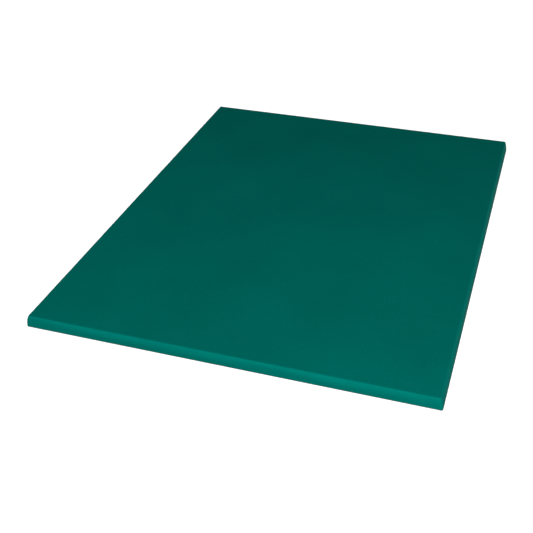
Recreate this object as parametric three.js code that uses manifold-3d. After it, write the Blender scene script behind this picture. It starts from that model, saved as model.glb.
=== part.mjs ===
// A gymnastics landing mat: two bonded foam layers inside a sewn, vinyl-coated cover
// that opens along its back wall with a coil zip.
//
// Millimetres, +Z up. The origin is on the floor under the middle of the mat. The long
// side lies along Y. The front wall is at -Y, and the back wall, with the zip, at +Y.
import * as THREE from "three";
import { mergeVertices } from "three/addons/utils/BufferGeometryUtils.js";
import Module from "manifold-3d";

const wasm = await Module();
wasm.setup();

// ---- Driving dimensions -------------------------------------------------------------

const WIDTH = 915; // 3 ft, along X
const LENGTH = 1220; // 4 ft, along Y
const HEIGHT = 30;
const CORNER_RADIUS = 4; // of the cover, seen from above

const VINYL = 0.6; // the coated fabric of the top and the walls
const BASE_VINYL = 1; // the non-slip fabric underneath
const GAP = 0.3; // left between pieces that touch
const SEAM_ALLOWANCE = 10; // the turned-in edge of each wall strip
const HEM = 2 * VINYL; // the zip edge of a wall strip is folded double

const FOAM_INSET = 1.6; // from the outside of the cover to the foam
const FOAM_CORNER_RADIUS = 11;
const FOAM_SPLIT_HEIGHT = 19; // where the firm top layer starts
const ZIP_POCKET = 4.5; // how far the foam stops short of the back wall, for the zip

const THREAD = 0.6; // thickness of the sewing thread
const SEAM_LINE = 5; // from the outside of the cover to the line of stitches
const CORNER_SEAM_LINE = 4; // the same for the four upright corner seams
const ZIP_STITCH_OFFSET = 3; // from a strip's folded edge to its row of stitches

const ZIP_HEIGHT = HEIGHT / 2; // the middle of the chain, above the floor
const ZIP_OPENING = 14; // between the two folded edges of the back wall
const TAPE = 0.6;
const TAPE_REACH = 12.5; // from the chain's middle to the outer edge of a tape
const TAPE_END = 2.5; // from the outside of a side wall to the end of a tape
const CHAIN_GAP = 1.6; // between the two coils, for the slider's post
const COIL_WIDTH = 3.2;
const COIL_DEPTH = 2;
const CHAIN_LENGTH = 880;
const STOP_LENGTH = 2.5;
const STOP_DEPTH = 2.4;

const SLIDER_LENGTH = 14;
const SLIDER_WIDTH = 12;
const SLIDER_PLATE = 1.1;
const SLIDER_FLANGE = 1;
const SLIDER_CLEARANCE = 0.5; // from the slider to the stops when the zip is shut
const POST = 1; // the slider's post, between the coils
const POST_LENGTH = 5;

const BRIDGE_LENGTH = 7.2; // the arch on the slider that holds the puller
const BRIDGE_WIDTH = 2;
const BRIDGE_RISE = 2.6;
const BRIDGE_BAND = 0.8;
const PULLER_LENGTH = 24;
const PULLER_WIDTH = 7;
const PULLER_THICKNESS = 0.9;
const PULLER_BAR = 0.45; // half the bar that turns under the bridge
const PULLER_WINDOW = 4.7; // from the bar's middle to the far end of the window
const PULLER_WINDOW_WIDTH = 3;
const PULLER_HOLE_RADIUS = 1.5;

const OVERCUT = 1; // how far a cutting solid runs past what it cuts
const CURVE_STEPS = 4;
const HOLE_STEPS = 16;

// ---- Places worked out from them ----------------------------------------------------

const half = { x: WIDTH / 2, y: LENGTH / 2 };
const wall = { low: BASE_VINYL + GAP, high: HEIGHT - VINYL - GAP };
const threadHeight = { base: wall.low + VINYL + GAP, top: wall.high - VINYL - GAP - THREAD };
const zip = { low: ZIP_HEIGHT - ZIP_OPENING / 2, high: ZIP_HEIGHT + ZIP_OPENING / 2 };
const tapeBack = half.y - HEM - GAP - TAPE; // the tape's face that looks at the foam
const coilBack = tapeBack + TAPE + GAP;
const coilFront = coilBack + COIL_DEPTH;
const plateBack = coilFront + GAP; // the back of the slider's outer plate
const plateFront = plateBack + SLIDER_PLATE;
const sliderX = (CHAIN_LENGTH - SLIDER_LENGTH) / 2 - SLIDER_CLEARANCE;
const pullerY = plateFront + GAP + PULLER_THICKNESS / 2; // the puller's hinge line

// ---- Materials ----------------------------------------------------------------------

const paint = (color, roughness, metalness = 0) =>
  new THREE.MeshStandardMaterial({ color, roughness, metalness });
const coverVinyl = paint(0x005b50, 0.55);
const baseVinyl = paint(0x1c2422, 0.8);
const firmFoam = paint(0xd8d6cc, 0.9);
const chipFoam = paint(0x6f7a86, 0.95);
const threadPolyester = paint(0x04473f, 0.8);
const zipTape = paint(0x15181a, 0.85);
const zipCoil = paint(0x202325, 0.45);
const nickel = paint(0xb9bab8, 0.3, 1);

// ---- Shapes -------------------------------------------------------------------------

const mat = new THREE.Group();

function add(name, geometry, material) {
  const mesh = new THREE.Mesh(geometry, material);
  mesh.name = name;
  mat.add(mesh);
  return mesh;
}

// A box between two corners.
function block([x0, y0, z0], [x1, y1, z1]) {
  const box = new THREE.BoxGeometry(x1 - x0, y1 - y0, z1 - z0);
  return box.translate((x0 + x1) / 2, (y0 + y1) / 2, (z0 + z1) / 2);
}

function roundedRectangle(x0, y0, x1, y1, radius) {
  const shape = new THREE.Shape();
  shape.moveTo(x0 + radius, y0);
  shape.absarc(x1 - radius, y0 + radius, radius, -Math.PI / 2, 0);
  shape.absarc(x1 - radius, y1 - radius, radius, 0, Math.PI / 2);
  shape.absarc(x0 + radius, y1 - radius, radius, Math.PI / 2, Math.PI);
  shape.absarc(x0 + radius, y0 + radius, radius, Math.PI, 1.5 * Math.PI);
  return shape;
}

// A flat sheet or slab of an outline, from one height to another.
function slab(shape, low, high) {
  const depth = high - low;
  const flat = new THREE.ExtrudeGeometry(shape, {
    depth,
    bevelEnabled: false,
    curveSegments: CURVE_STEPS,
  });
  return flat.translate(0, 0, low);
}

function solidOf(geometry) {
  const bare = geometry.clone().deleteAttribute("normal").deleteAttribute("uv");
  const merged = mergeVertices(bare, 1e-3);
  return new wasm.Manifold(
    new wasm.Mesh({
      numProp: 3,
      vertProperties: merged.attributes.position.array,
      triVerts: new Uint32Array(merged.index.array),
    }),
  );
}

function geometryOf(solid) {
  const mesh = solid.getMesh();
  const geometry = new THREE.BufferGeometry();
  geometry.setAttribute("position", new THREE.BufferAttribute(mesh.vertProperties, 3));
  geometry.setIndex(new THREE.BufferAttribute(mesh.triVerts, 1));
  geometry.computeVertexNormals();
  return geometry;
}

const join = (...parts) =>
  geometryOf(parts.map(solidOf).reduce((whole, part) => whole.add(part)));

// ---- The cover's flat panels --------------------------------------------------------

function panel(low, high) {
  return slab(roundedRectangle(-half.x, -half.y, half.x, half.y, CORNER_RADIUS), low, high);
}

add("top_panel", panel(HEIGHT - VINYL, HEIGHT), coverVinyl);
add("base_panel", panel(0, BASE_VINYL), baseVinyl);

// ---- The wall strips ----------------------------------------------------------------

// A strip of a section drawn as [distance in from the outside, height] corners. It is
// made along the front wall, with its ends cut to 45 degrees for the corner seams.
function strip(section, length) {
  const outline = section.map(([inward, height]) => new THREE.Vector2(inward, height));
  const shape = new THREE.Shape(outline);
  const long = new THREE.ExtrudeGeometry(shape, { depth: length, bevelEnabled: false });
  // The extrusion's X, Y and Z become inward (+Y), up (+Z) and along (+X).
  long.applyMatrix4(
    new THREE.Matrix4().makeBasis(
      new THREE.Vector3(0, 1, 0),
      new THREE.Vector3(0, 0, 1),
      new THREE.Vector3(1, 0, 0),
    ),
  );
  long.translate(-length / 2, 0, 0);
  const seam = GAP * Math.SQRT1_2; // half the gap between two strips, along X
  const cutOff = 4 * SEAM_ALLOWANCE;
  let solid = solidOf(long);
  for (const side of [-1, 1]) {
    const wedge = new THREE.Shape([
      new THREE.Vector2(side * (length / 2 - seam + OVERCUT), -OVERCUT),
      new THREE.Vector2(side * (length / 2 - seam - cutOff), cutOff),
      new THREE.Vector2(side * (length / 2 + cutOff), cutOff),
      new THREE.Vector2(side * (length / 2 + cutOff), -OVERCUT),
    ]);
    solid = solid.subtract(solidOf(slab(wedge, -OVERCUT, HEIGHT + OVERCUT)));
  }
  return geometryOf(solid);
}

// A channel: the upright wall, with a seam allowance turned in at the top and bottom.
const wholeSection = [
  [0, wall.low],
  [SEAM_ALLOWANCE, wall.low],
  [SEAM_ALLOWANCE, wall.low + VINYL],
  [VINYL, wall.low + VINYL],
  [VINYL, wall.high - VINYL],
  [SEAM_ALLOWANCE, wall.high - VINYL],
  [SEAM_ALLOWANCE, wall.high],
  [0, wall.high],
];
const upperSection = [
  [0, zip.high],
  [HEM, zip.high],
  [HEM, wall.high - VINYL],
  [SEAM_ALLOWANCE, wall.high - VINYL],
  [SEAM_ALLOWANCE, wall.high],
  [0, wall.high],
];
const lowerSection = [
  [0, wall.low],
  [SEAM_ALLOWANCE, wall.low],
  [SEAM_ALLOWANCE, wall.low + VINYL],
  [HEM, wall.low + VINYL],
  [HEM, zip.low],
  [0, zip.low],
];

const walls = [
  { name: "front_wall", section: wholeSection, turn: 0 },
  { name: "right_wall", section: wholeSection, turn: 1 },
  { name: "left_wall", section: wholeSection, turn: 3 },
  { name: "back_wall_upper", section: upperSection, turn: 2 },
  { name: "back_wall_lower", section: lowerSection, turn: 2 },
];
for (const { name, section, turn } of walls) {
  const acrossX = turn % 2 === 0;
  const length = acrossX ? WIDTH : LENGTH;
  const out = acrossX ? half.y : half.x;
  const mesh = add(name, strip(section, length), coverVinyl);
  mesh.geometry.translate(0, -out, 0).rotateZ((turn * Math.PI) / 2);
}

// ---- The foam -----------------------------------------------------------------------

// A layer with a rebate round its outer face, where the seam allowances and their
// stitches press into it.
function foamOutline(inset, radius) {
  const x = half.x - inset;
  return roundedRectangle(-x, inset - half.y, x, half.y - Math.max(inset, ZIP_POCKET), radius);
}

function foamLayer(rimLow, rimHigh, middleLow, middleHigh) {
  const middleInset = SEAM_ALLOWANCE + FOAM_INSET;
  return join(
    slab(foamOutline(FOAM_INSET, FOAM_CORNER_RADIUS), rimLow, rimHigh),
    slab(foamOutline(middleInset, FOAM_CORNER_RADIUS / 2), middleLow, middleHigh),
  );
}

const rim = { low: threadHeight.base + THREAD + GAP, high: threadHeight.top - GAP };
add(
  "foam_base_layer",
  foamLayer(rim.low, FOAM_SPLIT_HEIGHT, wall.low, FOAM_SPLIT_HEIGHT),
  chipFoam,
);
add(
  "foam_top_layer",
  foamLayer(FOAM_SPLIT_HEIGHT + GAP, rim.high, FOAM_SPLIT_HEIGHT + GAP, wall.high),
  firmFoam,
);

// ---- The sewing thread --------------------------------------------------------------

// A seam's thread, all the way round the cover.
function seamThread(low) {
  const x = half.x - SEAM_LINE;
  const y = half.y - SEAM_LINE;
  const loop = roundedRectangle(-x, -y, x, y, CORNER_RADIUS);
  const inner = roundedRectangle(-x + THREAD, -y + THREAD, x - THREAD, y - THREAD, CORNER_RADIUS / 2);
  loop.holes.push(new THREE.Path(inner.getPoints(CURVE_STEPS).reverse()));
  return slab(loop, low, low + THREAD);
}

add("top_seam_thread", seamThread(threadHeight.top), threadPolyester);
add("base_seam_thread", seamThread(threadHeight.base), threadPolyester);

const corners = [
  { name: "front_left", x: -1, y: -1 },
  { name: "front_right", x: 1, y: -1 },
  { name: "back_left", x: -1, y: 1 },
  { name: "back_right", x: 1, y: 1 },
];
for (const { name, x, y } of corners) {
  const across = x * (half.x - CORNER_SEAM_LINE);
  const along = y * (half.y - CORNER_SEAM_LINE);
  const near = [across - THREAD / 2, along - THREAD / 2, rim.low];
  const far = [across + THREAD / 2, along + THREAD / 2, rim.high];
  add("corner_thread_" + name, block(near, far), threadPolyester);
}

// ---- The zip ------------------------------------------------------------------------

const tapeEnd = half.x - TAPE_END; // the tape's ends are caught in the corner seams
const stitchEnd = half.x - SEAM_ALLOWANCE;
const halves = [
  { name: "upper", side: 1, stripEdge: zip.high },
  { name: "lower", side: -1, stripEdge: zip.low },
];
// A bar along the back wall, from one distance to another above or below the chain.
function zipBar(side, near, far, x0, x1, y0, y1) {
  const low = ZIP_HEIGHT + (side > 0 ? near : -far);
  return block([x0, y0, low], [x1, y1, low + far - near]);
}

const coilNear = CHAIN_GAP / 2;
const coilFar = coilNear + COIL_WIDTH;
const chainEnd = CHAIN_LENGTH / 2;
const stopStart = chainEnd + GAP;
for (const { name, side, stripEdge } of halves) {
  const tape = zipBar(side, coilNear, TAPE_REACH, -tapeEnd, tapeEnd, tapeBack, tapeBack + TAPE);
  add("zip_tape_" + name, tape, zipTape);

  const coil = zipBar(side, coilNear, coilFar, -chainEnd, chainEnd, coilBack, coilFront);
  add("zip_coil_" + name, coil, zipCoil);

  const stopEnd = stopStart + STOP_LENGTH;
  const stop = zipBar(side, coilNear, coilFar, stopStart, stopEnd, coilBack, coilBack + STOP_DEPTH);
  add("zip_top_stop_" + name, stop, nickel);

  const stitch = stripEdge + side * ZIP_STITCH_OFFSET;
  const near = [-stitchEnd, half.y + GAP, stitch - THREAD / 2];
  const far = [stitchEnd, half.y + GAP + THREAD, stitch + THREAD / 2];
  add("zip_thread_" + name, block(near, far), threadPolyester);
}
add(
  "zip_bottom_stop",
  block(
    [-stopStart - STOP_LENGTH, coilBack, ZIP_HEIGHT - coilFar],
    [-stopStart, coilBack + STOP_DEPTH, ZIP_HEIGHT + coilFar],
  ),
  nickel,
);

// ---- The slider ---------------------------------------------------------------------

// Two plates that hold the coils between them, joined by a post in the middle. Lips on
// the outer plate run down the coils' outer edges, and an arch on it holds the puller.
function slider() {
  const x0 = sliderX - SLIDER_LENGTH / 2;
  const x1 = sliderX + SLIDER_LENGTH / 2;
  const low = ZIP_HEIGHT - SLIDER_WIDTH / 2;
  const high = ZIP_HEIGHT + SLIDER_WIDTH / 2;
  const innerFront = tapeBack - GAP;
  const bridgeTop = plateFront + BRIDGE_RISE;
  const leg = (from) =>
    block(
      [from, plateBack, ZIP_HEIGHT - BRIDGE_WIDTH / 2],
      [from + BRIDGE_BAND, bridgeTop, ZIP_HEIGHT + BRIDGE_WIDTH / 2],
    );
  return join(
    block([x0, plateBack, low], [x1, plateFront, high]),
    block([x0, coilBack, low], [x1, plateFront, low + SLIDER_FLANGE]),
    block([x0, coilBack, high - SLIDER_FLANGE], [x1, plateFront, high]),
    block([x0, innerFront - SLIDER_PLATE, low], [x1, innerFront, high]),
    block(
      [x1 - POST_LENGTH, innerFront - SLIDER_PLATE, ZIP_HEIGHT - POST / 2],
      [x1, plateFront, ZIP_HEIGHT + POST / 2],
    ),
    leg(sliderX - BRIDGE_LENGTH / 2),
    leg(sliderX + BRIDGE_LENGTH / 2 - BRIDGE_BAND),
    block(
      [sliderX - BRIDGE_LENGTH / 2, bridgeTop - BRIDGE_BAND, ZIP_HEIGHT - BRIDGE_WIDTH / 2],
      [sliderX + BRIDGE_LENGTH / 2, bridgeTop, ZIP_HEIGHT + BRIDGE_WIDTH / 2],
    ),
  );
}
add("zip_slider", slider(), nickel);

// A flat tab that points along -X, with a window that the slider's arch passes through
// and a small hole at its free end. The bar across its end is the hinge.
function puller() {
  const tab = roundedRectangle(
    PULLER_BAR - PULLER_LENGTH,
    -PULLER_WIDTH / 2,
    PULLER_BAR,
    PULLER_WIDTH / 2,
    PULLER_BAR,
  );
  const window = roundedRectangle(
    -PULLER_WINDOW,
    -PULLER_WINDOW_WIDTH / 2,
    -PULLER_BAR,
    PULLER_WINDOW_WIDTH / 2,
    PULLER_BAR,
  );
  tab.holes.push(new THREE.Path(window.getPoints(CURVE_STEPS).reverse()));
  const hole = new THREE.Path();
  const holeX = PULLER_BAR - PULLER_LENGTH + PULLER_WIDTH / 2;
  hole.absarc(holeX, 0, PULLER_HOLE_RADIUS, 0, 2 * Math.PI, true);
  tab.holes.push(new THREE.Path(hole.getPoints(HOLE_STEPS).slice(0, -1)));
  return slab(tab, -PULLER_THICKNESS / 2, PULLER_THICKNESS / 2);
}
const tab = add("zip_puller", puller(), nickel);
tab.rotation.x = Math.PI / 2; // from flat on the floor to upright against the wall
tab.position.set(sliderX, pullerY, ZIP_HEIGHT);

export default mat;
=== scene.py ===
import math

import bmesh
import bpy
import numpy as np
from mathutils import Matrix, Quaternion, Vector


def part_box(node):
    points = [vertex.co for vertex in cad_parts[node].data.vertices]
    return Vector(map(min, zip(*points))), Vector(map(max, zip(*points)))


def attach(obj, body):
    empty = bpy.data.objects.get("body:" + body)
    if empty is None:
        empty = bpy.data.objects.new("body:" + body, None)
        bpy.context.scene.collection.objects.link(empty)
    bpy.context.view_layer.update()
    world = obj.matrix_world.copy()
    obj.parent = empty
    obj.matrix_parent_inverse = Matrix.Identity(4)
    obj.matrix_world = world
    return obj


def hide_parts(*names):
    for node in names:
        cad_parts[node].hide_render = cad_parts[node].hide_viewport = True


# The looks of a gymnastics landing mat: a vinyl cover sewn from a top panel, a base panel
# and wall strips, two layers of foam inside it, and a coil zip along its back wall.
# Everything is in metres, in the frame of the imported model.

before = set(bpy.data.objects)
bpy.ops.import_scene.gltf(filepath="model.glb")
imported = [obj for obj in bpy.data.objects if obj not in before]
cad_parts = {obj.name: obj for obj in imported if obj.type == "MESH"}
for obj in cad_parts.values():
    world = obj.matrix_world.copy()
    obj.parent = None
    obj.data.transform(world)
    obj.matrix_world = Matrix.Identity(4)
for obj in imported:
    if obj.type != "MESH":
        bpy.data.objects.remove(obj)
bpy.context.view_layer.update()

MM = 0.001

# ---- Sizes ---------------------------------------------------------------------------

VINYL = 0.6 * MM
BASE_FABRIC = 1.0 * MM
CLEARANCE = 0.3 * MM  # left between pieces that touch
CORNER = 4.2 * MM  # of the cover, seen from above
TOP_EDGE = 3.8 * MM  # the rounded edge between the top and a wall
BASE_EDGE = 2.5 * MM  # the same between the base and a wall
TOP_SEAM_ANGLE = math.radians(27)  # where on the rounded edge the top panel ends
BASE_SEAM_ANGLE = math.radians(38)
CELL = 5.3 * MM  # mesh spacing along the cover
FAN = 7  # mesh steps from the middle of a rounded corner to its end
CORNER_GAP = math.radians(1.2)  # left open at each corner seam
CORNER_PINCH = 0.35 * MM
PINCH_WIDTH = 0.8 * MM

CROWN = 0.9 * MM  # how much higher the middle of the mat is than its edge
CROWN_REACH = 60 * MM  # from the edge to where the top has its whole crown
SWELL = 0.55 * MM  # broad unevenness of the top
SWELL_WAVE = 260 * MM
DIMPLE_WAVE = 95 * MM
PUCKER = 0.16 * MM  # ripples along a sewn edge
PUCKER_WAVE = 17 * MM
PUCKER_PATCH = 190 * MM  # how far apart the stronger and weaker stretches are
PUCKER_REACH = 13 * MM
TOP_PUCKERS = 40  # the seed of the ripples at the top seam
BASE_PUCKERS = 60  # and at the base seam
LONG_BULGE = 1.8 * MM  # how far the long walls stand out between their two seams
SHORT_BULGE = 2.8 * MM  # the same for the front wall
ZIP_BULGE = 0.5 * MM  # and for the strips beside the zip
FRONT_CORNER_BULGE = 1.0 * MM
BACK_CORNER_BULGE = 0.8 * MM
BULGE_REACH = 70 * MM  # from a corner to where the wall has its whole bulge
BULGE_WAVE = 210 * MM
BULGE_LOW = 2.2 * MM  # the heights between which a wall stands out
BULGE_HIGH = 27.0 * MM
SIDE_LEAN = 5.5 * MM  # how far the foot of a long wall stands out past its top
FRONT_LEAN = 0.6 * MM
LEAN_REACH = 12 * MM  # how far in from the outside the lean is felt
STITCH_DIP = 0.14 * MM  # where a row of stitches pulls a strip down onto the zip's tape
STITCH_DIP_WIDTH = 0.9 * MM

top_low, top_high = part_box("top_panel")
HALF_X = top_high.x
HALF_Y = top_high.y
HEIGHT = top_high.z


def middle_height(node):
    low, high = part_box(node)
    return (low.z + high.z) / 2


# ---- Unevenness ----------------------------------------------------------------------

def waves(x, y, wavelength, seed, count=9):
    """A smooth random surface, from about -1 to 1, with bumps of roughly that wavelength."""
    random = np.random.default_rng(seed)
    total = np.zeros(np.broadcast(x, y).shape)
    for _ in range(count):
        heading = random.uniform(0, 2 * math.pi)
        phase = random.uniform(0, 2 * math.pi)
        step = 2 * math.pi / (wavelength * random.uniform(0.7, 1.4))
        total += np.sin(step * (x * math.cos(heading) + y * math.sin(heading)) + phase)
    return total / math.sqrt(count)


def smooth(value, low, high):
    """0 below low, 1 above high, and an S curve between them."""
    t = np.clip((value - low) / (high - low), 0, 1)
    return t * t * (3 - 2 * t)


def puckers(x, y, seed):
    """The ripples that sewing leaves, strongest at the four edges of the cover."""
    edges = (
        (y, HALF_X - x),
        (x, HALF_Y - y),
        (y, HALF_X + x),
        (x, HALF_Y + y),
    )
    total = np.zeros(np.broadcast(x, y).shape)
    for i, (along, inward) in enumerate(edges):
        ripple = waves(along, 0 * along, PUCKER_WAVE, seed + i, 5)
        strength = 0.6 + 0.4 * waves(along, 0 * along, PUCKER_PATCH, seed + i + 10, 3)
        total += ripple * strength * np.exp(-np.maximum(inward, 0) / PUCKER_REACH)
    return PUCKER * total


def top_lift(x, y):
    """How far the middle of the top panel stands above the flat."""
    inside = np.minimum(HALF_X - np.abs(x), HALF_Y - np.abs(y))
    crown = (1 - (x / HALF_X) ** 2) * (1 - (y / HALF_Y) ** 2)
    swell = 0.65 * waves(x, y, SWELL_WAVE, 3) + 0.35 * waves(x, y, DIMPLE_WAVE, 5)
    return smooth(inside, 0, CROWN_REACH) * (CROWN * crown + SWELL * (0.45 + 0.4 * swell))


def flat(x, y):
    return np.zeros(np.broadcast(x, y).shape)


def settled(points):
    """Points of the cover, moved as it settles on the floor: its foot spreads."""
    x, y, z = points.T
    share = np.clip((BULGE_HIGH - z) / (BULGE_HIGH - BULGE_LOW), 0, 1)
    near_side = smooth(np.abs(x), HALF_X - LEAN_REACH, HALF_X - CORNER)
    near_front = smooth(-y, HALF_Y - LEAN_REACH, HALF_Y - CORNER)
    out = np.sign(x) * SIDE_LEAN * share * near_side
    forward = -FRONT_LEAN * share * near_front
    return points + np.stack([out, forward, 0 * z], axis=1)


# ---- Mesh making ---------------------------------------------------------------------

def new_piece(name, vertices, faces, sharp=30):
    """A smooth-shaded object with that mesh, whose faces all look outwards."""
    mesh = bpy.data.meshes.new(name)
    mesh.from_pydata([tuple(v) for v in np.asarray(vertices, float)], [], faces)
    outward = bmesh.new()
    outward.from_mesh(mesh)
    bmesh.ops.recalc_face_normals(outward, faces=outward.faces)
    outward.to_mesh(mesh)
    outward.free()
    piece = bpy.data.objects.new(name, mesh)
    bpy.context.scene.collection.objects.link(piece)
    shade(piece, sharp)
    return piece


def settle(piece):
    """Moves a piece of the cover as settled() says."""
    mesh = piece.data
    points = np.empty(len(mesh.vertices) * 3)
    mesh.vertices.foreach_get("co", points)
    mesh.vertices.foreach_set("co", settled(points.reshape(-1, 3)).ravel())
    mesh.update()


def shade(piece, sharp):
    """Smooth shading, apart from edges that turn by more than that many degrees."""
    mesh = piece.data
    mesh.polygons.foreach_set("use_smooth", [True] * len(mesh.polygons))
    mesh.set_sharp_from_angle(angle=math.radians(sharp))


def arc(centre, radius, start, end, steps):
    """Points (inward, height) on an arc, and the outward normal at each."""
    angles = np.linspace(start, end, steps)
    inward = centre[0] - radius * np.cos(angles)
    height = centre[1] + radius * np.sin(angles)
    return np.stack([inward, height, np.cos(angles), np.sin(angles)], axis=1)


def spline(points, steps):
    """A smooth curve through points, with that many steps between each pair."""
    p = np.asarray(points, float)
    p = np.vstack([2 * p[0] - p[1], p, 2 * p[-1] - p[-2]])
    t = np.linspace(0, 1, steps, endpoint=False)[:, None]
    parts = []
    for a, b, c, d in zip(p, p[1:], p[2:], p[3:]):
        square = 2 * a - 5 * b + 4 * c - d
        cube = 3 * (b - c) + d - a
        parts.append(b + ((c - a) * t + square * t**2 + cube * t**3) / 2)
    return np.vstack([*parts, p[-2:-1]])


def squared(wave, power):
    """A sine or cosine that stays longer near its peaks, for a circle with flattened sides."""
    return np.sign(wave) * np.abs(wave) ** power


def rounded_outline(x0, y0, x1, y1, radius, end_radius=None, taper=0.0, steps=6):
    """A rounded rectangle. At x0 it is narrower by taper on each side, and its corners
    have end_radius."""
    end = end_radius or radius
    corners = (
        (x1 - radius, y1 - radius, radius),
        (x0 + end, y1 - end - taper, end),
        (x0 + end, y0 + end + taper, end),
        (x1 - radius, y0 + radius, radius),
    )
    return [
        (cx + r * math.cos(t), cy + r * math.sin(t))
        for turn, (cx, cy, r) in enumerate(corners)
        for t in np.linspace(turn * math.pi / 2, (turn + 1) * math.pi / 2, steps)
    ]


def grid_faces(rows, columns, first=0):
    """Quads of a grid whose vertices are numbered row by row."""
    return [
        (first + r * columns + c, first + r * columns + c + 1,
         first + (r + 1) * columns + c + 1, first + (r + 1) * columns + c)
        for r in range(rows - 1)
        for c in range(columns - 1)
    ]


def ring_faces(rings, points, closed=False):
    """Quads that join closed rings of points, numbered ring by ring. Each end gets a cap,
    unless the last ring joins the first one."""
    faces = []
    for i in range(rings if closed else rings - 1):
        j = (i + 1) % rings
        for a in range(points):
            b = (a + 1) % points
            faces.append((i * points + a, i * points + b, j * points + b, j * points + a))
    if not closed:
        faces.append(tuple(range(points)))
        faces.append(tuple(reversed(range((rings - 1) * points, rings * points))))
    return faces


def rim_stations(columns, rows, fan):
    """The stations round a rectangular grid: (grid vertex, angle of the outward normal)."""
    sides = [
        (list(range(columns)), -math.pi / 2),
        ([r * columns + columns - 1 for r in range(rows)], 0),
        ([(rows - 1) * columns + c for c in reversed(range(columns))], math.pi / 2),
        ([r * columns for r in reversed(range(rows))], math.pi),
    ]
    stations = []
    for vertices, angle in sides:
        stations += [(v, angle) for v in vertices]
        turn = [angle + math.pi / 2 * k / (2 * fan) for k in range(1, 2 * fan)]
        stations += [(vertices[-1], a) for a in turn]
    return stations


def quilt(name, low, high, corner, outer, inner, lift, ripple, cell=CELL):
    """A closed, flat-lying piece with rounded corners. outer and inner are its two faces'
    edge profiles, as (inward, height, outward part of the normal, upward part), which both
    start where the face is flat. lift raises a face, and ripple moves it along its normal."""
    columns = max(2, round((high.x - low.x - 2 * corner) / cell) + 1)
    rows = max(2, round((high.y - low.y - 2 * corner) / cell) + 1)
    x = np.linspace(low.x + corner, high.x - corner, columns)
    y = np.linspace(low.y + corner, high.y - corner, rows)
    grid_x, grid_y = (g.ravel() for g in np.meshgrid(x, y))
    stations = rim_stations(columns, rows, FAN)
    core = np.array([v for v, _ in stations])
    angles = np.array([a for _, a in stations])
    count = len(stations)
    vertices = []
    faces = []
    last_ring = []
    for profile, flip in ((outer, False), (inner, True)):
        first = sum(len(v) for v in vertices)
        _, level, _, facing = profile[0]
        height = level + lift(grid_x, grid_y) + facing * ripple(grid_x, grid_y)
        vertices.append(np.stack([grid_x, grid_y, height], axis=1))
        sheet = grid_faces(rows, columns, first)
        previous = first + core
        for inward, z, out, up in profile[1:]:
            start = sum(len(v) for v in vertices)
            ring_x = grid_x[core] + (corner - inward) * np.cos(angles)
            ring_y = grid_y[core] + (corner - inward) * np.sin(angles)
            move = ripple(ring_x, ring_y)
            vertices.append(np.stack([
                ring_x + out * move * np.cos(angles),
                ring_y + out * move * np.sin(angles),
                z + lift(ring_x, ring_y) + up * move,
            ], axis=1))
            ring = start + np.arange(count)
            for a in range(count):
                b = (a + 1) % count
                corners = [previous[a], ring[a], ring[b], previous[b]]
                if corners[0] == corners[3]:
                    corners.pop()
                sheet.append(tuple(int(c) for c in corners))
            previous = ring
        faces += [tuple(reversed(f)) for f in sheet] if flip else sheet
        last_ring.append(previous)
    for a in range(count):
        b = (a + 1) % count
        faces.append(tuple(int(v) for v in (
            last_ring[0][a], last_ring[1][a], last_ring[1][b], last_ring[0][b],
        )))
    return new_piece(name, np.vstack(vertices), faces)


def tube(name, points, radius, sides, reference, closed=False):
    """A round bar of that radius along points. reference is never along the bar."""
    points = np.asarray(points, float)
    if closed:
        along = np.roll(points, -1, axis=0) - np.roll(points, 1, axis=0)
    else:
        along = np.gradient(points, axis=0)
    along /= np.linalg.norm(along, axis=1)[:, None]
    across = np.cross(along, np.array(reference, float))
    across /= np.linalg.norm(across, axis=1)[:, None]
    other = np.cross(along, across)
    angles = np.linspace(0, 2 * math.pi, sides, endpoint=False)
    rings = [points + radius * (math.cos(a) * across + math.sin(a) * other) for a in angles]
    vertices = np.stack(rings, axis=1).reshape(-1, 3)
    return new_piece(name, vertices, ring_faces(len(points), sides, closed), sharp=80)


# ---- Materials -----------------------------------------------------------------------

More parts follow.
